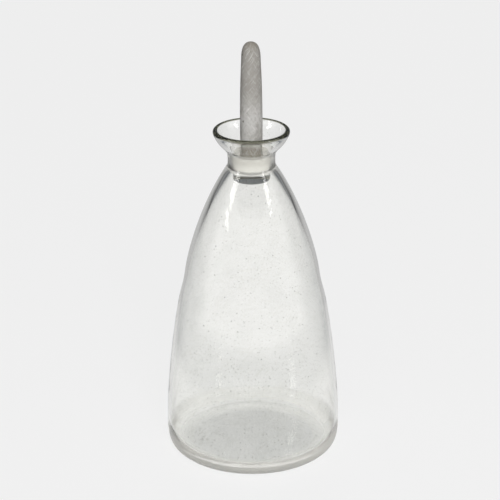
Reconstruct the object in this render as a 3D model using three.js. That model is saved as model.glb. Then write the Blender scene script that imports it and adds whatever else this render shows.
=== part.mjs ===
// Blown glass carafe: a tall tapering body, a short ground neck and a funnel mouth,
// closed by a clear tapered plug that carries a satin-ground rod as its handle.
// Millimetres, +Z up. The origin is the centre of the ring that the carafe stands on.

import * as THREE from 'three';

// Body, from the foot up
const footRingInner = 40;      // inside edge of the flat ring that rests on the table
const footRingOuter = 46.4;    // outside edge of that ring, where the heel begins
const kickHeight = 2.4;        // how far the underside is pushed up at its centre
const floorThickness = 4.6;    // glass at the bottom of the body
const floorRadius = 42;        // where the floor begins to curve up into the wall
const innerHeelHeight = 14.5;  // where that curve ends
const heelRadius = 8.1;        // rounding between the foot and the wall
const heelLean = 8.3;          // degrees that the wall still leans out above the heel
const bellyPull = 20.7;        // how long the wall keeps that lean
const bellyWall = 2.2;         // glass in the lower body
const waistHeight = 111.7;     // a faint hollow all round, where the body turns into the shoulder
const waistRadius = 43.15;
const waistBlend = 6;          // how far the hollow is rounded, up and down
const waistLeanBelow = 16.7;   // degrees that the wall leans in, just under the hollow
const waistPullBelow = 13.6;
const waistLeanAbove = 7.6;    // degrees that it leans in, just over the hollow
const waistPullAbove = 16.8;
const shoulderHeight = 189.4;  // the crease where the shoulder meets the neck
const shoulderLean = 33.8;     // degrees that the shoulder leans in at the crease
const shoulderPull = 27.4;

// Neck and funnel mouth
const neckRadius = 14.7;
const neckWall = 2.7;          // glass between the bore and the outside, at the crease
const neckLength = 8.5;        // from the shoulder's crease up to the foot of the funnel
const throatBlend = 3;         // how far the corner between neck and funnel is rounded
const boreTaper = 1 / 20;      // growth of the bore's radius with height
const boreDrop = 3;            // how far the bore reaches down past the shoulder's crease
const mouthRadius = 23.7;      // widest part of the lip
const mouthHeight = 14.2;      // from the foot of the funnel to the top of the lip
const mouthLeanLow = 47;       // degrees that the funnel leans out at its foot
const mouthLeanHigh = 16.3;    // degrees that it leans out under the lip
const mouthFloorRise = 1.7;    // how far the bore's upper edge lies over the foot of the funnel
const lipThickness = 3.3;      // the lip is rounded with half of this

// Stopper
const groundClearance = 0.3;   // gap between the plug and the bore
const plugDrop = 10;           // how far the plug reaches down past the shoulder's crease
const plugLength = 17.4;
const plugBevel = 0.7;
const seatClearance = 0.3;     // gap between the rod and its seat in the plug
const seatDepth = 2;           // how deep the rod stands in the plug
const rodFootRadius = 6.6;
const rodSwellRadius = 6.82;   // the rod is a little thicker half way up
const rodShoulderRadius = 5.9; // where the blunt tip begins
const rodLength = 70.3;        // from the top of the plug to the tip
const rodTipHeight = 10.6;
const rodTipSide = 8.4;        // how long the tip's side stays upright
const rodTipTop = 3.4;         // how far from the axis its top stays level
const rodBevel = 0.4;

// Facets round the axis, and steps along each curved line of a profile
const vesselSides = 60;
const stopperSides = 40;
const steps = {
  kick: 4, heel: 6, belly: 8, hollow: 3, shoulder: 9, throat: 3, funnel: 5, lip: 7, rodSide: 8, rodTip: 9,
};

const radians = THREE.MathUtils.degToRad;
const at = (radius, height) => new THREE.Vector2(radius, height);

// Direction of a wall that leans by so many degrees away from the axis as it rises
const rising = (degrees) => at(Math.sin(radians(degrees)), Math.cos(radians(degrees)));
const along = (start, direction, length) => start.clone().addScaledVector(direction, length);

// Points on a round stretch of a profile, at angles in degrees from straight outward
function arc(centre, radius, from, to, count) {
  return Array.from({ length: count + 1 }, (_, step) => {
    const angle = radians(THREE.MathUtils.lerp(from, to, step / count));
    return at(centre.x + radius * Math.cos(angle), centre.y + radius * Math.sin(angle));
  });
}

// Corner where the line through one point meets the line through another
function corner(first, firstWay, second, secondWay) {
  const gap = second.clone().sub(first);
  const length = gap.cross(secondWay) / firstWay.cross(secondWay);
  return along(first, firstWay, length);
}

// Share of the way along a curve, 0 to 1, from which a test holds
function shareWhere(test) {
  let before = 0;
  let after = 1;
  while (after - before > 1e-6) {
    const middle = (before + after) / 2;
    if (test(middle)) after = middle;
    else before = middle;
  }
  return after;
}

// The point inside a curve of the body, square to it by the wall's thickness there
function insideAt(curve, share) {
  const point = curve.getPoint(share);
  const way = curve.getTangent(share);
  return along(point, at(-way.y, way.x), wallAt(point.y));
}

// The same wall seen from inside, between two shares of the curve
function insideOf(curve, count, from = 0, to = 1) {
  return Array.from({ length: count + 1 }, (_, step) => {
    return insideAt(curve, THREE.MathUtils.lerp(from, to, step / count));
  });
}

// Drops points that repeat the one before them
function joined(...stretches) {
  return stretches.flat().filter((point, index, all) => {
    return index === 0 || point.distanceTo(all[index - 1]) > 1e-6;
  });
}

// A solid turned about +Z from its half profile, given as radius and height
function turned(name, profile, sides, material) {
  const mesh = new THREE.Mesh(new THREE.LatheGeometry(profile, sides), material);
  mesh.name = name;
  mesh.rotation.x = Math.PI / 2;
  return mesh;
}

const boreRadiusAt = (height) => neckRadius - neckWall + (height - shoulderHeight) * boreTaper;
const plugRadiusAt = (height) => boreRadiusAt(height) - groundClearance;

// Outer lines of the body: heel, belly, the faint hollow over it, and shoulder up to the crease
function bodyLines() {
  const heelCentre = at(footRingOuter, heelRadius);
  const heel = arc(heelCentre, heelRadius, -90, -heelLean, steps.heel);
  const heelTop = heel[heel.length - 1];
  const waist = at(waistRadius, waistHeight);
  const crease = at(neckRadius, shoulderHeight);
  const bellyTop = along(waist, rising(-waistLeanBelow), -waistBlend);
  const shoulderFoot = along(waist, rising(-waistLeanAbove), waistBlend);
  const belly = new THREE.CubicBezierCurve(
    heelTop,
    along(heelTop, rising(heelLean), bellyPull),
    along(bellyTop, rising(-waistLeanBelow), -waistPullBelow),
    bellyTop,
  );
  const hollow = new THREE.QuadraticBezierCurve(bellyTop, waist, shoulderFoot);
  const shoulder = new THREE.CubicBezierCurve(
    shoulderFoot,
    along(shoulderFoot, rising(-waistLeanAbove), waistPullAbove),
    along(crease, rising(-shoulderLean), -shoulderPull),
    crease,
  );
  return { heel, belly, hollow, shoulder };
}

// Lines of the funnel mouth: throat, outside, rounded lip and the inside down to the bore
function mouthLines() {
  const lipRounding = lipThickness / 2;
  const foot = at(neckRadius, shoulderHeight + neckLength);
  const lipCentre = at(mouthRadius - lipRounding, foot.y + mouthHeight - lipRounding);
  const lip = arc(lipCentre, lipRounding, -mouthLeanHigh, 180 - mouthLeanHigh, steps.lip);
  const lipOutside = lip[0];
  const lipInside = lip[lip.length - 1];
  const boreEdgeHeight = foot.y + mouthFloorRise;
  const boreEdge = at(boreRadiusAt(boreEdgeHeight), boreEdgeHeight);
  const low = rising(mouthLeanLow);
  const high = rising(mouthLeanHigh);
  const throat = new THREE.QuadraticBezierCurve(
    along(foot, rising(0), -throatBlend),
    foot,
    along(foot, low, throatBlend),
  );
  const outside = new THREE.QuadraticBezierCurve(
    throat.v2,
    corner(foot, low, lipOutside, high),
    lipOutside,
  );
  const inside = new THREE.QuadraticBezierCurve(
    lipInside,
    corner(boreEdge, low, lipInside, high),
    boreEdge,
  );
  return { throat, outside, lip, inside };
}

// The glass grows from the belly's thickness at the waist to what the bore's foot leaves under the crease
function wallAt(height) {
  const lean = radians(shoulderLean);
  const boreFoot = shoulderHeight - boreDrop;
  const creaseWall = (neckRadius - boreRadiusAt(boreFoot)) * Math.cos(lean) + boreDrop * Math.sin(lean);
  const share = (height - waistHeight) / (shoulderHeight - waistHeight);
  return THREE.MathUtils.lerp(bellyWall, creaseWall, THREE.MathUtils.clamp(share, 0, 1));
}

// One piece of blown glass, open from the funnel to the floor of the body
function vessel() {
  const { heel, belly, hollow, shoulder } = bodyLines();
  const { throat, outside, lip, inside } = mouthLines();
  const boreMet = shareWhere((share) => {
    const point = insideAt(shoulder, share);
    return point.x < boreRadiusAt(point.y);
  });
  const heelMet = shareWhere((share) => insideAt(belly, share).y > innerHeelHeight);
  const innerShoulder = insideOf(shoulder, steps.shoulder, 0, boreMet).reverse();
  const innerHollow = insideOf(hollow, steps.hollow).reverse();
  const innerBelly = insideOf(belly, steps.belly, heelMet).reverse();
  const wallFoot = innerBelly[innerBelly.length - 1];
  const floorEdge = at(floorRadius, floorThickness);
  const underside = new THREE.QuadraticBezierCurve(
    at(0, kickHeight),
    at(footRingInner / 2, kickHeight),
    at(footRingInner, 0),
  );
  const innerHeel = new THREE.QuadraticBezierCurve(
    wallFoot,
    corner(wallFoot, belly.getTangent(heelMet), floorEdge, at(1, 0)),
    floorEdge,
  );
  const floor = new THREE.QuadraticBezierCurve(
    floorEdge,
    at(floorRadius / 2, floorThickness + kickHeight),
    at(0, floorThickness + kickHeight),
  );
  const profile = joined(
    underside.getPoints(steps.kick),
    heel,
    belly.getPoints(steps.belly),
    hollow.getPoints(steps.hollow),
    shoulder.getPoints(steps.shoulder),
    throat.getPoints(steps.throat),
    outside.getPoints(steps.funnel),
    lip,
    inside.getPoints(steps.funnel),
    innerShoulder,
    innerHollow,
    innerBelly,
    innerHeel.getPoints(steps.heel),
    floor.getPoints(steps.kick),
  );
  const glass = new THREE.MeshStandardMaterial({
    color: 0xe3e6df,
    roughness: 0.05,
    metalness: 0,
    transparent: true,
    opacity: 0.3,
  });
  return turned('carafe_vessel', profile, vesselSides, glass);
}

// Heights that the plug and the rod share
const plugEnd = shoulderHeight - plugDrop;
const plugTop = plugEnd + plugLength;
const seatFloor = plugTop - seatDepth;

// Tapered plug ground to the bore, with a shallow round seat for the rod in its top
function plug() {
  const seatRadius = rodFootRadius + seatClearance;
  const profile = [
    at(0, plugEnd),
    at(plugRadiusAt(plugEnd) - plugBevel, plugEnd),
    at(plugRadiusAt(plugEnd + plugBevel), plugEnd + plugBevel),
    at(plugRadiusAt(plugTop - plugBevel), plugTop - plugBevel),
    at(plugRadiusAt(plugTop) - plugBevel, plugTop),
    at(seatRadius, plugTop),
    at(seatRadius, seatFloor),
    at(0, seatFloor),
  ];
  const clearGlass = new THREE.MeshStandardMaterial({
    color: 0xdcddd6,
    roughness: 0.08,
    metalness: 0,
    transparent: true,
    opacity: 0.4,
  });
  return turned('stopper_plug', profile, stopperSides, clearGlass);
}

// Handle rod: a slight swell along its length and a blunt, rounded tip
function rod() {
  const foot = seatFloor + seatClearance;
  const tip = plugTop + rodLength;
  const shoulder = tip - rodTipHeight;
  const middleRadius = 2 * rodSwellRadius - (rodFootRadius + rodShoulderRadius) / 2;
  const side = new THREE.QuadraticBezierCurve(
    at(rodFootRadius, foot + rodBevel),
    at(middleRadius, (foot + shoulder) / 2),
    at(rodShoulderRadius, shoulder),
  );
  const bluntTip = new THREE.CubicBezierCurve(
    at(rodShoulderRadius, shoulder),
    at(rodShoulderRadius, shoulder + rodTipSide),
    at(rodTipTop, tip),
    at(0, tip),
  );
  const profile = joined(
    [at(0, foot), at(rodFootRadius - rodBevel, foot)],
    side.getPoints(steps.rodSide),
    bluntTip.getPoints(steps.rodTip),
  );
  const satinGlass = new THREE.MeshStandardMaterial({
    color: 0xb7b4af,
    roughness: 0.65,
    metalness: 0,
  });
  return turned('stopper_rod', profile, stopperSides, satinGlass);
}

// The plug and the rod lift out of the vessel as one
const stopper = new THREE.Group();
stopper.add(plug(), rod());

const carafe = new THREE.Group();
carafe.add(vessel(), stopper);

export default carafe;
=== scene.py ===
import math
import random

import bmesh
import bpy
from mathutils import Matrix, Vector, noise


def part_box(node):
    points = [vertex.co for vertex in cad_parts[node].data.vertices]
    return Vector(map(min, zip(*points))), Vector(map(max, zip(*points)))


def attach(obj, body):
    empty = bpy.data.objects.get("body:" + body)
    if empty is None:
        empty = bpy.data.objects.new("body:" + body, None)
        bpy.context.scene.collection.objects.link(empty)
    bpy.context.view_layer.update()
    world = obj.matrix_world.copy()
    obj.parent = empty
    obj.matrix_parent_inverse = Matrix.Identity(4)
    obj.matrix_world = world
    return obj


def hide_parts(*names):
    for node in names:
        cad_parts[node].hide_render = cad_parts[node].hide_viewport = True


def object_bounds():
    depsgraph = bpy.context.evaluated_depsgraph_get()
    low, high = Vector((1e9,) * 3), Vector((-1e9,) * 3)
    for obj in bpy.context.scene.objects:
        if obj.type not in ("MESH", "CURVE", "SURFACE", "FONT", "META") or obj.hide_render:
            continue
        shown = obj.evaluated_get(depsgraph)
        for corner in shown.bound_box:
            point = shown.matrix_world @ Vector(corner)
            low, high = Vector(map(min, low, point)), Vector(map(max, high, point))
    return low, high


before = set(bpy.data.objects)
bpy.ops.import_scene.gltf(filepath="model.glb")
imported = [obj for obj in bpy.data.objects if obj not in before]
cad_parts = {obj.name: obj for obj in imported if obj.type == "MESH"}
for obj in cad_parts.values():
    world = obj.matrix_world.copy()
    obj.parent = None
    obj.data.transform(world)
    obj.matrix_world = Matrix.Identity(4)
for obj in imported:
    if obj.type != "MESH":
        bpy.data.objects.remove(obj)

cadBox = [list(corner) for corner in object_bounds()]
mm = 0.001
onAxis = 1e-6        # metres: nearer to the axis than this counts as on it
notZero = 0.001      # added to a distance before something is divided by it
print("stage: frame loaded, the box is", cadBox)


# Sockets that do sums: wire * 2 + 1 adds the Math nodes it needs
class Wire:
    def __init__(self, paint, socket):
        self.paint = paint
        self.socket = socket

    def sum(self, operation, first, second):
        return self.paint.add("ShaderNodeMath", {"operation": operation}, {0: first, 1: second}).out(0)

    def __add__(self, other):
        return self.sum("ADD", self, other)

    def __radd__(self, other):
        return self.sum("ADD", other, self)

    def __sub__(self, other):
        return self.sum("SUBTRACT", self, other)

    def __rsub__(self, other):
        return self.sum("SUBTRACT", other, self)

    def __mul__(self, other):
        return self.sum("MULTIPLY", self, other)

    def __rmul__(self, other):
        return self.sum("MULTIPLY", other, self)

    def __truediv__(self, other):
        return self.sum("DIVIDE", self, other)

    def __rtruediv__(self, other):
        return self.sum("DIVIDE", other, self)

    def __pow__(self, other):
        return self.sum("POWER", self, other)


# A node that has been added, asked for its outputs
class Node:
    def __init__(self, paint, node):
        self.paint = paint
        self.node = node

    def out(self, name):
        return Wire(self.paint, self.node.outputs[name])


# One node tree being painted
class Paint:
    def __init__(self, tree):
        self.tree = tree
        tree.nodes.clear()

    def add(self, kind, settings=None, inputs=None):
        node = self.tree.nodes.new(kind)
        for name, value in (settings or {}).items():
            setattr(node, name, value)
        for name, value in (inputs or {}).items():
            socket = node.inputs[name]
            if isinstance(value, Wire):
                self.tree.links.new(value.socket, socket)
            else:
                socket.default_value = value
        return Node(self, node)

    def mixColour(self, factor, first, second, how="MIX"):
        settings = {"data_type": "RGBA", "blend_type": how}
        return self.add("ShaderNodeMix", settings, {0: factor, 6: first, 7: second}).out(2)

    def mixShader(self, factor, first, second):
        return self.add("ShaderNodeMixShader", None, {0: factor, 1: first, 2: second}).out(0)

    # 0 below low, 1 above high, smooth between
    def step(self, value, low, high):
        settings = {"interpolation_type": "SMOOTHSTEP"}
        return self.add("ShaderNodeMapRange", settings, {0: value, 1: low, 2: high}).out(0)

    def noise(self, vector, layer):
        inputs = {"Vector": vector, "Scale": layer["scale"], "Detail": layer["detail"]}
        inputs["Roughness"] = layer["roughness"]
        return self.add("ShaderNodeTexNoise", None, inputs).out(0)

    # Soft patches: 0 where the noise is below the layer's range, 1 where it is above
    def patches(self, vector, layer):
        return self.step(self.noise(vector, layer), *layer["range"])

    # Small round dots, one in some of the cells of a grid: 1 in a dot, 0 outside
    def dots(self, vector, layer):
        inputs = {"Vector": vector, "Scale": layer["scale"]}
        cell = self.add("ShaderNodeTexVoronoi", {"feature": "F1"}, inputs)
        chance = self.add("ShaderNodeSeparateColor", None, {0: cell.out("Color")}).out(0)
        start = 1 - layer["share"]
        chosen = self.step(chance, start, start + 0.01)
        return (1 - self.step(cell.out("Distance"), layer["size"] * 0.5, layer["size"])) * chosen

    def scaled(self, vector, factors):
        return self.add("ShaderNodeVectorMath", {"operation": "MULTIPLY"}, {0: vector, 1: factors}).out(0)

    def vector(self, x, y, z):
        return self.add("ShaderNodeCombineXYZ", None, {0: x, 1: y, 2: z}).out(0)

    def split(self, vector):
        node = self.add("ShaderNodeSeparateXYZ", None, {0: vector})
        return node.out(0), node.out(1), node.out(2)

    def awayFromAxis(self, x, y):
        return (x * x + y * y) ** 0.5

    # Radians round the axis, 0 at the front
    def turnFromFront(self, x, y):
        return self.add("ShaderNodeMath", {"operation": "ARCTAN2"}, {0: x, 1: 0 - y}).out(0)


def grey(level):
    return (level, level, level, 1.0)


def newMaterial(name):
    material = bpy.data.materials.new(name)
    material.use_nodes = True
    return material, Paint(material.node_tree)


# Ground glass: a pale matt film over the clear surface, as much as the mask says
def groundGlass(paint, surface, mask, colour, look):
    film = paint.add("ShaderNodeBsdfPrincipled", None, {
        "Base Color": colour,
        "Roughness": 1.0,
        "Specular IOR Level": 0.0,
    })
    return paint.mixShader(mask * look["filmShare"], surface, film.out(0))


# A whole material of glass: its surface, its colour through the thickness, and lamp light let through
def finishGlass(paint, surface, depth):
    lightPath = paint.add("ShaderNodeLightPath")
    letThrough = paint.add("ShaderNodeBsdfTransparent", None, {"Color": depth["lampColour"]})
    mixed = paint.mixShader(lightPath.out("Is Shadow Ray"), surface, letThrough.out(0))
    inside = paint.add("ShaderNodeVolumeAbsorption", None, {
        "Color": depth["colour"],
        "Density": depth["density"],
    })
    paint.add("ShaderNodeOutputMaterial", None, {"Surface": mixed, "Volume": inside.out(0)})


# Fine lines worn into a turned surface, one set for each lean: 1 on a line, 0 beside it
def scratches(paint, around, z, look):
    acrossScale, alongScale = look["scratchStretch"]
    sets = []
    for lean, shift in look["scratchLeans"]:
        turn = math.radians(lean)
        across = around * math.sin(turn) - z * math.cos(turn)
        along = around * math.cos(turn) + z * math.sin(turn)
        stretched = paint.vector(across * acrossScale, along * alongScale, shift)
        sets.append(paint.patches(stretched, look["scratchLines"]))
    return sets


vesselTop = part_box("carafe_vessel")[1].z
vesselRadius = cadBox[1][0]
vesselLook = {
    "ior": 1.5,
    "clear": (1.0, 1.0, 0.99, 1.0),
    "cloud": (0.955, 0.958, 0.945, 1.0),    # thin film of old wear, in wide soft patches
    "cloudPatches": {"scale": 55.0, "detail": 4.0, "roughness": 0.65, "range": (0.42, 0.75)},
    "grain": (0.965, 0.965, 0.955, 1.0),    # the same film, close to
    "grainPatches": {"scale": 900.0, "detail": 2.0, "roughness": 0.7, "range": (0.40, 0.75)},
    "dust": (0.66, 0.66, 0.62, 1.0),
    "dustDots": {"scale": 480.0, "size": 0.22, "share": 0.5},
    "dustPatches": {"scale": 70.0, "detail": 2.0, "roughness": 0.5, "range": (0.35, 0.60)},
    "grit": (0.27, 0.26, 0.22, 1.0),        # darker, and thickest near the foot
    "gritDots": {"scale": 430.0, "size": 0.19, "share": 0.35},
    "gritHeight": (15 * mm, 120 * mm),      # it thins out from here to here
    "speck": (0.30, 0.29, 0.26, 1.0),
    "speckDots": {"scale": 230.0, "size": 0.11, "share": 0.24},
    "scratch": (0.93, 0.93, 0.905, 1.0),
    "scratchLeans": ((48.0, 2.0), (-3.0, 11.0)),    # degrees, and the slice of the noise
    "scratchStretch": (900.0, 60.0),        # per metre across the lines and along them
    "scratchLines": {"scale": 1.0, "detail": 1.0, "roughness": 0.5, "range": (0.66, 0.72)},
    "lip": (0.075, 0.075, 0.045, 1.0),      # painted shade: the rounded lip is darkened in its colour, for where it is looked at along the glass
    "lipShadeSide": (2.3 * mm, 1.38 * mm),       # down from the top: where that begins outside, and is full
    "lipShadeCrest": (0.8 * mm, 0.5 * mm),       # and inside
    "lipEdge": 0.5 * mm,                    # how wide the change from inside to outside is
    "boreEdge": 0.2 * mm,                   # the ground bore ends over this much outward
    "boreFade": 1 * mm,                     # and over this much at its foot
    "boreRoughness": 0.12,
    "ringHeight": (0.08 * mm, 0.16 * mm),   # the ring that the carafe stands on
    "ringRoughness": 0.06,
    "ringFilm": 0.3,
    "film": (0.93, 0.91, 0.87, 1.0),
    "filmShare": 0.4,
    "heelOutside": (0.835, 0.85),           # shares of the widest radius: scuffed only further out
    "heelFoot": (1.2 * mm, 2.6 * mm),       # the heel is scuffed from here
    "heelHeight": (8.5 * mm, 13.0 * mm),    # to here
    "heelRise": 5.0 * mm,                   # and higher by this much at both sides
    "heelFront": (-0.6, 0.25),              # shares of that radius toward the front, over which it grows
    "heelFilm": (0.35, 1.0),                # from this much to this much
    "depth": {"colour": (0.64, 0.64, 0.52, 1.0), "density": 7.0, "lampColour": (0.93, 0.94, 0.93, 1.0)},
}


def ofRadius(shares):
    return [vesselRadius * share for share in shares]


def vesselGlass(bore, lipRadius):
    look = vesselLook
    material, paint = newMaterial("blownGlass")
    place = paint.add("ShaderNodeTexCoord").out("Object")
    x, y, z = paint.split(place)
    away = paint.awayFromAxis(x, y)
    around = paint.turnFromFront(x, y) * away

    colour = paint.mixColour(paint.patches(place, look["cloudPatches"]), look["clear"], look["cloud"])
    grain = paint.patches(place, look["grainPatches"])
    colour = paint.mixColour(grain, colour, look["grain"], "MULTIPLY")
    dust = paint.dots(place, look["dustDots"]) * paint.patches(place, look["dustPatches"])
    colour = paint.mixColour(dust, colour, look["dust"])
    grit = paint.dots(place, look["gritDots"]) * (1 - paint.step(z, *look["gritHeight"]))
    colour = paint.mixColour(grit, colour, look["grit"])
    colour = paint.mixColour(paint.dots(place, look["speckDots"]), colour, look["speck"])
    for scratch in scratches(paint, around, z, look):
        colour = paint.mixColour(scratch, colour, look["scratch"])
    # Painted shade: the lip's crest, and its outer side near the top, take the dark lip colour
    outside = paint.step(away, lipRadius, lipRadius + look["lipEdge"])
    shadedCrest = paint.step(z, *[vesselTop - depth for depth in look["lipShadeCrest"]])
    shadedSide = paint.step(z, *[vesselTop - depth for depth in look["lipShadeSide"]])
    colour = paint.mixColour(shadedCrest + outside * shadedSide * (1 - shadedCrest), colour, look["lip"])

    inBore = 1 - paint.step(away, bore["radius"], bore["radius"] + look["boreEdge"])
    inBore = inBore * paint.step(z, bore["foot"], bore["foot"] + look["boreFade"])
    onRing = 1 - paint.step(z, *look["ringHeight"])
    sideways = x * (1 / vesselRadius)
    onHeel = 1 - paint.step(z - sideways * sideways * look["heelRise"], *look["heelHeight"])
    onHeel = onHeel * paint.step(z, *look["heelFoot"])
    onHeel = onHeel * paint.step(away, *ofRadius(look["heelOutside"]))
    back, front = look["heelFilm"]
    heelFilm = back + paint.step(0 - y, *ofRadius(look["heelFront"])) * (front - back)
    scuffed = inBore + onRing * look["ringFilm"] + onHeel * heelFilm
    surface = paint.add("ShaderNodeBsdfPrincipled", None, {
        "Base Color": colour,
        "Roughness": inBore * look["boreRoughness"] + onRing * look["ringRoughness"],
        "IOR": look["ior"],
        "Transmission Weight": 1.0,
    })
    finishGlass(paint, groundGlass(paint, surface.out(0), scuffed, look["film"], look), look["depth"])
    return material


plugLook = {
    "ior": 1.5,
    "clear": (1.0, 1.0, 0.98, 1.0),
    "ground": (0.90, 0.88, 0.83, 1.0),
    "groundFoot": (7.7 * mm, 8.2 * mm),     # over the plug's end: clear below, ground above
    "groundRoughness": 0.2,
    "polishedRoughness": 0.02,
    "wear": {"scale": 700.0, "detail": 3.0, "roughness": 0.6},
    "wearLeast": 0.7,
    "wearSpread": 0.6,
    "film": (0.95, 0.925, 0.88, 1.0),
    "filmShare": 0.62,
    "topDepth": (0.3 * mm, 0.1 * mm),
    "topFilm": 0.3,                         # what the top has over the sides
    "stain": (0.50, 0.46, 0.38, 1.0),
    "stainDark": (0.13, 0.11, 0.07, 1.0),
    "stainStretch": (0.6, 1.5, 1.0),
    "stainPatches": {"scale": 460.0, "detail": 4.0, "roughness": 0.75, "range": (0.42, 0.54)},
    "stainSides": (4.0 * mm, 8.0 * mm),     # the stain fades from here to here, to each side
    "stainLost": 0.75,                      # by this much
    "depth": {"colour": (0.64, 0.66, 0.60, 1.0), "density": 6.0, "lampColour": (0.93, 0.93, 0.92, 1.0)},
}


# Ground on its side and on top, polished at its end
def plugGlass(low, high):
    look = plugLook
    material, paint = newMaterial("plugGlass")
    place = paint.add("ShaderNodeTexCoord").out("Object")
    x, _, z = paint.split(place)
    ground = paint.step(z, *[low.z + height for height in look["groundFoot"]])
    onTop = paint.step(z, *[high.z - depth for depth in look["topDepth"]])
    worn = look["wearLeast"] + paint.noise(place, look["wear"]) * look["wearSpread"]
    surface = paint.add("ShaderNodeBsdfPrincipled", None, {
        "Base Color": paint.mixColour(ground, look["clear"], look["ground"]),
        "Roughness": look["polishedRoughness"] + ground * (look["groundRoughness"] * worn),
        "IOR": look["ior"],
        "Transmission Weight": 1.0,
    })
    blot = paint.patches(paint.scaled(place, look["stainStretch"]), look["stainPatches"])
    stain = paint.mixColour(blot, look["stain"], look["stainDark"])
    start, end = look["stainSides"]
    stained = 1 - paint.step(x * x, start * start, end * end) * look["stainLost"]
    film = paint.mixColour(onTop * stained, look["film"], stain)
    mask = ground * worn + onTop * look["topFilm"]
    finishGlass(paint, groundGlass(paint, surface.out(0), mask, film, look), look["depth"])
    return material


rodLook = {
    "ior": 1.5,
    "roughness": 0.62,
    "specular": 0.3,
    # painted light: the second colour is the rod painted paler over its lower stretch, for the light it
    # gets there
    "upper": (0.330, 0.315, 0.290, 1.0),
    "lower": (0.535, 0.525, 0.505, 1.0),
    "lowerHeight": (22 * mm, 46 * mm),      # over its foot the painted light of the paler stretch gives way from here to here
    "stain": (0.29, 0.275, 0.25, 1.0),
    "stainPatches": {"scale": 120.0, "detail": 3.0, "roughness": 0.6, "range": (0.45, 0.75)},
    "stainShare": 0.75,
    "mottlePatches": {"scale": 650.0, "detail": 3.0, "roughness": 0.7, "range": (0.48, 0.62)},
    "mottleShare": 0.4,
    "tip": (0.27, 0.245, 0.205, 1.0),
    "tipHeight": 5 * mm,
    "tipShare": 0.8,
    # painted shade: the rod's foot is darkened where it meets the plug, broken into uneven patches
    "foot": (0.22, 0.195, 0.15, 1.0),
    "footHeight": (5.4 * mm, 9 * mm),
    "footPatches": {"scale": 500.0, "detail": 3.0, "roughness": 0.7, "range": (0.36, 0.56)},
    "footShare": (0.4, 0.55),               # between the patches, and what they add
    "scratch": (0.74, 0.73, 0.71, 1.0),
    "scratchShare": 0.6,
    "scratchLeans": ((52.0, 3.0), (-52.0, 9.0)),    # degrees, and the slice of the noise
    "scratchStretch": (2100.0, 110.0),      # per metre across the file marks and along them
    "scratchLines": {"scale": 1.0, "detail": 2.0, "roughness": 0.55, "range": (0.57, 0.66)},
    "turnPatches": {"scale": 90.0, "detail": 1.0, "roughness": 0.5, "range": (0.42, 0.58)},
    "turnShare": 0.75,                      # how much one way prevails in a patch
    "pit": (0.16, 0.15, 0.13, 1.0),
    "pitDots": {"scale": 230.0, "size": 0.2, "share": 0.16},
    "fine": {"scale": 1800.0, "detail": 2.0, "roughness": 0.5},
    "bump": {"Strength": 0.35, "Distance": 0.4 * mm},
}


# Satin-ground all over, with file marks that cross
def satinGlass(low, high):
    look = rodLook
    material, paint = newMaterial("satinGlass")
    place = paint.add("ShaderNodeTexCoord").out("Object")
    x, y, z = paint.split(place)
    around = paint.turnFromFront(x, y) * high.x
    # Painted light: the rod is painted paler over its lower stretch
    paintedLight = 1 - paint.step(z, *[low.z + height for height in look["lowerHeight"]])
    colour = paint.mixColour(paintedLight, look["upper"], look["lower"])
    stained = paint.patches(place, look["stainPatches"]) * look["stainShare"]
    colour = paint.mixColour(stained, colour, look["stain"])
    mottled = paint.patches(place, look["mottlePatches"]) * look["mottleShare"]
    colour = paint.mixColour(mottled, colour, look["stain"])
    nearTip = paint.step(z, high.z - look["tipHeight"], high.z)
    colour = paint.mixColour(nearTip * look["tipShare"], colour, look["tip"])
    # Painted shade at the rod's foot, where it is fused to the plug, in uneven patches
    shadedFoot = 1 - paint.step(z, *[low.z + height for height in look["footHeight"]])
    between, more = look["footShare"]
    dark = between + paint.patches(place, look["footPatches"]) * more
    colour = paint.mixColour(shadedFoot * dark, colour, look["foot"])

    share = look["turnShare"]
    region = paint.patches(place, look["turnPatches"])
    rightward, leftward = scratches(paint, around, z, look)
    marks = rightward * (1 - share + region * share) + leftward * (1 - region * share)
    colour = paint.mixColour(marks * look["scratchShare"], colour, look["scratch"])
    colour = paint.mixColour(paint.dots(place, look["pitDots"]), colour, look["pit"])
    rise = marks + paint.noise(place, look["fine"])
    bump = paint.add("ShaderNodeBump", None, {**look["bump"], "Height": rise})
    surface = paint.add("ShaderNodeBsdfPrincipled", None, {
        "Base Color": colour,
        "Roughness": look["roughness"],
        "IOR": look["ior"],
        "Specular IOR Level": look["specular"],
        "Normal": bump.out(0),
    })
    paint.add("ShaderNodeOutputMaterial", None, {"Surface": surface.out(0)})
    return material


# Half outline of a turned CAD node as (radius, height), from the axis round to the axis
def halfOutline(name):
    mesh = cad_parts[name].data

    def spot(index):
        x, y, z = mesh.vertices[index].co
        return (round(x, 6), round(z, 6)) if abs(y) < onAxis and x > -onAxis else None

    links = {}
    for polygon in mesh.polygons:
        corners = [spot(index) for index in polygon.vertices]
        for first, second in zip(corners, corners[1:] + corners[:1]):
            if first and second and first != second:
                links.setdefault(first, set()).add(second)
                links.setdefault(second, set()).add(first)
    line = [min((point for point in links if len(links[point]) == 1), key=lambda point: point[1])]
    while True:
        onward = [point for point in links[line[-1]] if point not in line]
        if not onward:
            return [Vector(point) for point in line]
        line.append(onward[0])


outlineFineness = {
    "cornerDegrees": 30.0,   # a sharper turn than this is a real corner
    "spacing": 0.35 * mm,
    "shortest": 1e-9,
    "softening": 4,          # passes that round the corners
    "keepDegrees": 2.2,      # a point is kept after this much turning
    "keepLength": 2.5 * mm,  # or this much length
}


def turning(before, here, after):
    return abs((here - before).angle_signed(after - here))


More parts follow.
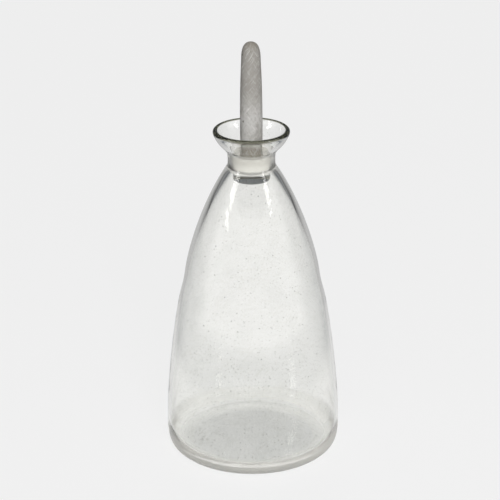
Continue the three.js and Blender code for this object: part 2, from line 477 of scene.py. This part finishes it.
# The outline's facets made into smooth lines between its real corners, then its corners rounded a little
def smoothOutline(line):
    fine = outlineFineness
    last = len(line) - 1
    corner = math.radians(fine["cornerDegrees"])
    isCorner = [True]
    for before, here, after in zip(line, line[1:], line[2:]):
        isCorner.append(turning(before, here, after) > corner)
    isCorner.append(True)
    widest = max(point.x for point in line)
    lowest = min(point.y for point in line)
    dense = []
    for i in range(last):
        here, there = line[i], line[i + 1]
        before = here * 2 - there if isCorner[i] else line[i - 1]
        after = there * 2 - here if isCorner[i + 1] else line[i + 2]
        if i == 0 and here.x < onAxis:
            before = Vector((-there.x, there.y))
        if i == last - 1 and there.x < onAxis:
            after = Vector((-here.x, here.y))
        steps = max(1, round((there - here).length / fine["spacing"]))
        leave, arrive = hermiteTangents(before, here, there, after)
        for k in range(steps):
            t = k / steps
            point = (here * (2 * t ** 3 - 3 * t ** 2 + 1) + leave * (t ** 3 - 2 * t ** 2 + t)
                     + there * (3 * t ** 2 - 2 * t ** 3) + arrive * (t ** 3 - t ** 2))
            dense.append(Vector((min(max(point.x, 0.0), widest), max(point.y, lowest))))
    dense.append(line[last])
    for _ in range(fine["softening"]):
        soft = [a * 0.25 + b * 0.5 + c * 0.25 for a, b, c in zip(dense, dense[1:], dense[2:])]
        dense = [dense[0]] + soft + [dense[-1]]
    return thinned(dense)


# Tangents of a chord-length spline at both ends of the stretch from here to there
def hermiteTangents(before, here, there, after):
    shortest = outlineFineness["shortest"]
    a = max((here - before).length, shortest)
    b = max((there - here).length, shortest)
    c = max((after - there).length, shortest)
    leave = ((here - before) / a * b + (there - here) / b * a) / (a + b)
    arrive = ((there - here) / b * c + (after - there) / c * b) / (b + c)
    return leave * b, arrive * b


def thinned(dense):
    fine = outlineFineness
    kept = [dense[0]]
    turned = 0.0
    for before, here, after in zip(dense, dense[1:], dense[2:]):
        turned += turning(before, here, after)
        if turned > math.radians(fine["keepDegrees"]) or (here - kept[-1]).length > fine["keepLength"]:
            kept.append(here)
            turned = 0.0
    return kept + [dense[-1]]


# A closed mesh turned about Z from a half outline; shape(point) may move each vertex a little
def turnedMesh(name, outline, sides, shape=None):
    vertices = []
    rings = []
    for point in outline:
        count = 1 if point.x < onAxis else sides
        ring = []
        for k in range(count):
            angle = 2 * math.pi * k / sides
            place = Vector((point.x * math.cos(angle), point.x * math.sin(angle), point.y))
            ring.append(len(vertices))
            vertices.append(shape(place) if shape else place)
        rings.append(ring)
    faces = []
    for low, high in zip(rings, rings[1:]):
        for k in range(sides):
            a, b = low[k % len(low)], low[(k + 1) % len(low)]
            c, d = high[(k + 1) % len(high)], high[k % len(high)]
            faces.append([a, d, c] if a == b else [a, b, c] if c == d else [a, b, c, d])
    mesh = bpy.data.meshes.new(name)
    mesh.from_pydata(vertices, [], faces)
    work = bmesh.new()
    work.from_mesh(mesh)
    bmesh.ops.recalc_face_normals(work, faces=work.faces)
    work.to_mesh(mesh)
    work.free()
    mesh.shade_smooth()
    piece = bpy.data.objects.new(name, mesh)
    bpy.context.scene.collection.objects.link(piece)
    return piece


def dress(piece, node, body, material):
    piece.data.materials.append(material)
    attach(piece, body)
    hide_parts(node)


blowing = {
    "sides": 160,
    "unevenness": 0.09 * mm,   # how far the blown wall wanders inward
    "grain": 24.0,             # how closely it wanders, per metre
    "radiusGrain": 200.0,      # and from one radius to the next
    "trueFoot": 12 * mm,       # it wanders less below this height
    "trueNeck": 40 * mm,       # and nearer the top than this
    "seedCount": 150,
    "seedRadius": (0.13 * mm, 0.36 * mm),
    "seedLeast": 0.5,          # share of that size that a second draw may leave
    "seedLength": 1.6,         # seeds are drawn out along the wall
    "seedDepth": 1.05 * mm,
    "seedFoot": 12 * mm,       # they lie over this height
    "seedNeck": 32 * mm,       # and further from the top than this
    "draw": 11,
    "boreDepth": 16 * mm,      # a place in the ground bore, down from the top
    "boreAround": 0.5 * mm,    # how far the ground zone reaches past it, outward
    "boreBelow": 1 * mm,       # and down
}


# The blown wall is never quite true: it wanders inward, less near the foot and the ground neck
def blownShape(place):
    radius = math.hypot(place.x, place.y)
    if radius < onAxis:
        return place
    fromTop = abs(vesselTop - place.z)
    lift = min(1.0, place.z / blowing["trueFoot"]) * min(1.0, fromTop / blowing["trueNeck"])
    shift = Vector((0, 0, radius * blowing["radiusGrain"]))
    wander = 0.5 + 0.5 * noise.noise(place * blowing["grain"] + shift)
    inward = blowing["unevenness"] * lift * wander / radius
    return Vector((place.x * (1 - inward), place.y * (1 - inward), place.z))


# Closed air bubbles inside the wall, each a small hollow with its faces turned in
def addSeeds(piece, outer):
    draw = random.Random(blowing["draw"])
    work = bmesh.new()
    work.from_mesh(piece.data)
    heights = [point.y for point in outer]
    for _ in range(blowing["seedCount"]):
        height = draw.uniform(heights[0], heights[-1])
        k = next(i for i in range(1, len(heights)) if heights[i] >= height)
        low, high = outer[k - 1], outer[k]
        share = (height - low.y) / (high.y - low.y)
        way = (high - low).normalized()
        middle = low.lerp(high, share) + Vector((-way.y, way.x)) * blowing["seedDepth"]
        size = draw.uniform(*blowing["seedRadius"]) * draw.uniform(blowing["seedLeast"], 1.0)
        lean = Matrix.Rotation(math.atan2(way.x, way.y), 4, "Y")
        stretch = Matrix.Diagonal((1, 1, draw.uniform(1.0, blowing["seedLength"]), 1))
        turn = Matrix.Rotation(draw.uniform(0, 2 * math.pi), 4, "Z")
        spot = turn @ Matrix.Translation((middle.x, 0, middle.y)) @ lean @ stretch
        made = bmesh.ops.create_icosphere(work, subdivisions=2, radius=size, matrix=spot)
        faces = {face for vertex in made["verts"] for face in vertex.link_faces}
        bmesh.ops.reverse_faces(work, faces=list(faces))
        for face in faces:
            face.smooth = True
    work.to_mesh(piece.data)
    work.free()


def makeVessel():
    outline = smoothOutline(halfOutline("carafe_vessel"))
    print("stage: vessel outline has", len(outline), "points")
    piece = turnedMesh("blownVessel", outline, blowing["sides"], blownShape)
    lip = max(range(len(outline)), key=lambda i: outline[i].y)
    narrow = min((i for i in range(lip) if outline[i].y > vesselTop / 2), key=lambda i: outline[i].x)
    highest = vesselTop - blowing["seedNeck"]
    addSeeds(piece, [point for point in outline[:narrow] if blowing["seedFoot"] < point.y < highest])
    boreHeight = vesselTop - blowing["boreDepth"]
    boreRadius = min(outline[lip:], key=lambda point: abs(point.y - boreHeight)).x
    boreFoot = min(point.y for point in outline[lip:] if point.x < boreRadius and point.y > vesselTop / 2)
    bore = {"radius": boreRadius + blowing["boreAround"], "foot": boreFoot - blowing["boreBelow"]}
    dress(piece, "carafe_vessel", "vessel", vesselGlass(bore, outline[lip].x))


stopperShape = {
    "sides": 96,
    "filletSpread": 0.9 * mm,   # how far the rod's foot spreads on the plug
    "filletRise": 1.6 * mm,     # and how high
    "filletGap": 0.05 * mm,     # how far over the plug it starts
    "filletSteps": 4,
}


# The rod is fused to the plug: its foot spreads a little over the seat
def fusedFoot(line, seat):
    spread = stopperShape["filletSpread"]
    rise = stopperShape["filletRise"]
    start = seat + stopperShape["filletGap"]
    foot = [point for point in line if point.y < seat]
    side = [point for point in line if point.y > seat + rise]
    radius = foot[-1].x
    fillet = [Vector((radius, start)), Vector((radius + spread, start))]
    for k in range(1, stopperShape["filletSteps"] + 1):
        share = k / stopperShape["filletSteps"]
        fillet.append(Vector((radius + spread * (1 - share) ** 2, start + rise * share ** 2)))
    return foot + fillet + side


def makeStopper():
    low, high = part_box("stopper_plug")
    plug = turnedMesh("plug", smoothOutline(halfOutline("stopper_plug")), stopperShape["sides"])
    dress(plug, "stopper_plug", "stopper", plugGlass(low, high))
    line = fusedFoot(halfOutline("stopper_rod"), high.z)
    low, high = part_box("stopper_rod")
    rod = turnedMesh("rod", smoothOutline(line), stopperShape["sides"])
    dress(rod, "stopper_rod", "stopper", satinGlass(low, high))


studio = {
    "background": 0.871,                # what the camera sees, a pale grey
    "tableReach": (0.7, 1.7, 3.6),      # metres out: the table's pale middle, its dim part, the far room
    "tableGlow": (0.88, 0.58, 0.30),    # what glass and gloss see there
    "shadowUnderFoot": 0.79,                  # painted shadow: how much of that is left under the carafe
    "underReach": (0.026, 0.062),       # metres out where that painted shadow begins and ends to lift
    "underShift": 0.012,                # and how far its middle lies to the front
    "horizonColour": (0.26, 0.265, 0.27, 1.0),
    "wallColour": (0.145, 0.155, 0.165, 1.0),
    "wallHeight": (0.0, 0.14),          # sines of the heights where the horizon gives way to the wall
    "mirroredNear": (0.17, 0.27),       # metres out: mirrored, the table is pale to here all round
    "mirroredBehind": (0.53, 0.79),     # cosines of the turn from the back: dark before, pale after
    "mirroredDim": (0.84, 0.60),        # share of the table's glow left in a reflection, near and far
    "mirroredFade": (0.15, 0.36),       # metres out where the one gives way to the other
    "mirroredUnder": (0.062, 0.085),    # metres out: a mirrored patch beside the heel ends here
    "mirroredUnderGlow": 0.85,          # and glows this much
    "mirroredSide": (0.155, 0.17, 0.19, 1.0),
    "panelGlow": 1.3,                   # a wide white panel under the camera, mirrored in the glass
    "panelHeight": 29.5,                # degrees up to its upper edge
    "panelEdge": 0.02,                  # how soft that edge is, as a sine
    "panelSides": (-0.15, 0.30),        # cosines of the turn from the front: none before, full after
    "panelStart": (0.40, 0.80),         # metres out where it begins on the table
    "fill": 0.09,                       # light that falls on matt things from all round
    "frontFill": 0.40,                  # and what the front adds to it
    "frontHeight": 35.0,                # degrees up to the middle of the front's light
    "frontSpread": (0.3, 1.0),          # cosines of the turn from there: none before, full after
    "floorReach": 8.0,
    "floorDrop": 0.1 * mm,
    "floorKeeps": 0.25,                 # share of the floor that takes shadow
    "floorColour": 0.8,
    "floorLit": 0.60,                   # how bright that share is where nothing shades it
    "boxDistance": 1.3,
}
softboxes = (                 # degrees from the front and degrees up, at the foot and at the head of each
    {"foot": (-68.0, 25.5), "head": (-69.5, 38.0), "width": 0.21, "glow": 5.5},
    {"foot": (-65.0, 19.2), "head": (-65.0, 21.6), "width": 0.26, "glow": 5.0},
    {"foot": (58.5, 30.0), "head": (57.0, 39.0), "width": 0.20, "glow": 5.5},
    {"foot": (55.8, 26.4), "head": (55.8, 27.8), "width": 0.20, "glow": 6.0},
)
mattLights = (                # these light matt surfaces only
    {"turn": 9.0, "rise": 36.0, "width": 1.0, "distance": 2.8, "watts": 54.0},
    {"turn": 180.0, "rise": 42.0, "width": 1.0, "distance": 2.8, "watts": 18.0},
)


# Whether the camera sees this directly, or in gloss or glass but by no matt surface, or mirrored
def backgroundRays(paint):
    path = paint.add("ShaderNodeLightPath")
    matt = paint.step(path.out("Diffuse Depth"), 0.0, 1.0)
    bent = paint.step(path.out("Is Glossy Ray") + path.out("Is Transmission Ray"), 0.0, 1.0)
    return path.out("Is Camera Ray"), bent * (1 - matt), paint.step(path.out("Glossy Depth"), 0.0, 1.0)


# The way to a place so many degrees round from the front and so many up
def wayTo(turnDegrees, riseDegrees):
    turn = math.radians(turnDegrees)
    rise = math.radians(riseDegrees)
    return Vector((math.sin(turn) * math.cos(rise), -math.cos(turn) * math.cos(rise), math.sin(rise)))


# Turned so that a camera or lamp that way out looks back to the middle
def facingFrom(way):
    return way.to_track_quat("Z", "Y").to_matrix().to_4x4()


def makeWorld():
    world = bpy.data.worlds.new("studio")
    bpy.context.scene.world = world
    world.use_nodes = True
    paint = Paint(world.node_tree)
    camera, bent, mirrored = backgroundRays(paint)
    way = paint.add("ShaderNodeTexCoord").out("Generated")
    x, y, z = paint.split(way)
    high = paint.step(z, *studio["wallHeight"])
    wall = paint.mixColour(high, studio["horizonColour"], studio["wallColour"])
    ahead = paint.step((0 - y) / (paint.awayFromAxis(x, y) + notZero), *studio["panelSides"])
    edge = math.sin(math.radians(studio["panelHeight"]))
    under = 1 - paint.step(z, edge - studio["panelEdge"], edge + studio["panelEdge"])
    room = paint.mixColour(mirrored * ahead * under, wall, grey(studio["panelGlow"]))
    front = tuple(wayTo(0, studio["frontHeight"]))
    dot = paint.add("ShaderNodeVectorMath", {"operation": "DOT_PRODUCT"}, {0: way, 1: front})
    fill = studio["fill"] + paint.step(dot.out("Value"), *studio["frontSpread"]) * studio["frontFill"]
    shown = paint.mixColour(bent, paint.vector(fill, fill, fill), room)
    shown = paint.mixColour(camera, shown, grey(studio["background"]))
    light = paint.add("ShaderNodeBackground", None, {"Color": shown, "Strength": 1.0})
    paint.add("ShaderNodeOutputWorld", None, {"Surface": light.out(0)})


def makeFloor():
    reach = studio["floorReach"]
    mesh = bpy.data.meshes.new("floor")
    sides = ((-1, -1), (1, -1), (1, 1), (-1, 1))
    corners = [(x * reach, y * reach, -studio["floorDrop"]) for x, y in sides]
    mesh.from_pydata(corners, [], [[0, 1, 2, 3]])
    floor = bpy.data.objects.new("floor", mesh)
    bpy.context.scene.collection.objects.link(floor)
    material, paint = newMaterial("paleFloor")
    camera, bent, mirrored = backgroundRays(paint)
    x, y, _ = paint.split(paint.add("ShaderNodeTexCoord").out("Object"))
    away = paint.awayFromAxis(x, y)
    middle, dim, far = studio["tableReach"]
    near, half, dark = studio["tableGlow"]
    seen = paint.mixColour(paint.step(away, middle, dim), grey(near), grey(half))
    seen = paint.mixColour(paint.step(away, dim, far), seen, grey(dark))
    behind = paint.step(y / (away + notZero), *studio["mirroredBehind"])
    ahead = paint.step((0 - y) / (away + notZero), *studio["panelSides"])
    panel = ahead * paint.step(away, *studio["panelStart"])
    close, distant = studio["mirroredDim"]
    left = close + paint.step(away, *studio["mirroredFade"]) * (distant - close)
    dimmed = paint.mixColour(1.0, seen, paint.vector(left, left, left), "MULTIPLY")
    echo = paint.mixColour(behind, studio["mirroredSide"], dimmed)
    echo = paint.mixColour(panel, echo, grey(studio["panelGlow"]))
    echo = paint.mixColour(paint.step(away, *studio["mirroredNear"]), dimmed, echo)
    beside = grey(studio["mirroredUnderGlow"])
    echo = paint.mixColour(paint.step(away, *studio["mirroredUnder"]), beside, echo)
    # Painted shadow under the carafe, in what glass and gloss see of the table
    shaded = grey(near * studio["shadowUnderFoot"])
    fromShade = paint.awayFromAxis(x, y + studio["underShift"])
    seen = paint.mixColour(paint.step(fromShade, *studio["underReach"]), shaded, seen)
    seen = paint.mixColour(mirrored, seen, echo)
    seen = paint.mixColour(camera, seen, grey(studio["background"]))
    keeps = studio["floorKeeps"]
    seen = paint.mixColour(1.0, seen, grey(keeps * studio["floorLit"]), "SUBTRACT")
    glow = paint.add("ShaderNodeEmission", None, {"Color": seen, "Strength": 1 / (1 - keeps)})
    matt = paint.add("ShaderNodeBsdfDiffuse", None, {"Color": grey(studio["floorColour"])})
    surface = paint.mixShader((camera + bent) * (1 - keeps), matt.out(0), glow.out(0))
    paint.add("ShaderNodeOutputMaterial", None, {"Surface": surface})
    mesh.materials.append(material)


# An area lamp round the middle of the carafe, unseen by the kinds of ray that are named
def addLamp(name, size, watts, offset, turn, unseenBy):
    data = bpy.data.lights.new(name, "AREA")
    data.shape = "RECTANGLE"
    data.size, data.size_y = size
    data.energy = watts
    lamp = bpy.data.objects.new(name, data)
    middle = Vector((0, 0, (cadBox[0][2] + cadBox[1][2]) / 2))
    lamp.matrix_world = Matrix.Translation(middle + offset) @ turn
    for ray in unseenBy:
        setattr(lamp, "visible_" + ray, False)
    bpy.context.scene.collection.objects.link(lamp)


def makeLamps():
    for box in softboxes:
        foot = wayTo(*box["foot"]) * studio["boxDistance"]
        head = wayTo(*box["head"]) * studio["boxDistance"]
        back = ((foot + head) / 2).normalized()
        rise = (head - foot).normalized()
        side = rise.cross(back).normalized()
        turn = Matrix((side, back.cross(side), back)).transposed().to_4x4()
        size = (box["width"], (head - foot).length)
        watts = box["glow"] * size[0] * size[1] * math.pi
        addLamp("softbox", size, watts, (foot + head) / 2, turn, ("camera", "diffuse"))
    for light in mattLights:
        way = wayTo(light["turn"], light["rise"])
        size = (light["width"], light["width"])
        offset = way * light["distance"]
        unseenBy = ("camera", "glossy", "transmission")
        addLamp("mattLight", size, light["watts"], offset, facingFrom(way), unseenBy)


photoCamera = {
    "elevation": 22.5,       # degrees above the horizon
    "distance": 1.2185,
    "lookHeight": 0.1322,
    "sensorWidth": 36.0,
    "focalPixels": 1950.0,
    "framePixels": 500.0,
    "axisPixel": 252.0,      # where the object's axis crosses the middle row
    "leanDegrees": 0.33,     # the photographed object leans this far to the left
}


def makeCamera():
    view = photoCamera
    data = bpy.data.cameras.new("camera")
    data.sensor_width = view["sensorWidth"]
    data.lens = view["sensorWidth"] * view["focalPixels"] / view["framePixels"]
    data.shift_x = -(view["axisPixel"] - view["framePixels"] / 2) / view["framePixels"]
    camera = bpy.data.objects.new("camera", data)
    way = wayTo(0, view["elevation"])
    place = Matrix.Translation(Vector((0, 0, view["lookHeight"])) + way * view["distance"])
    lean = Matrix.Rotation(math.radians(-view["leanDegrees"]), 4, "Z")
    camera.matrix_world = place @ facingFrom(way) @ lean
    bpy.context.scene.collection.objects.link(camera)
    bpy.context.scene.camera = camera


makeCamera()
print("stage: camera")
makeVessel()
makeStopper()
print("stage: pieces")
makeWorld()
makeFloor()
makeLamps()
print("stage: studio")

scene = bpy.context.scene
scene.view_settings.view_transform = "Standard"
scene.cycles.max_bounces = 24
scene.cycles.transmission_bounces = 24
scene.cycles.glossy_bounces = 12
scene.cycles.transparent_max_bounces = 24
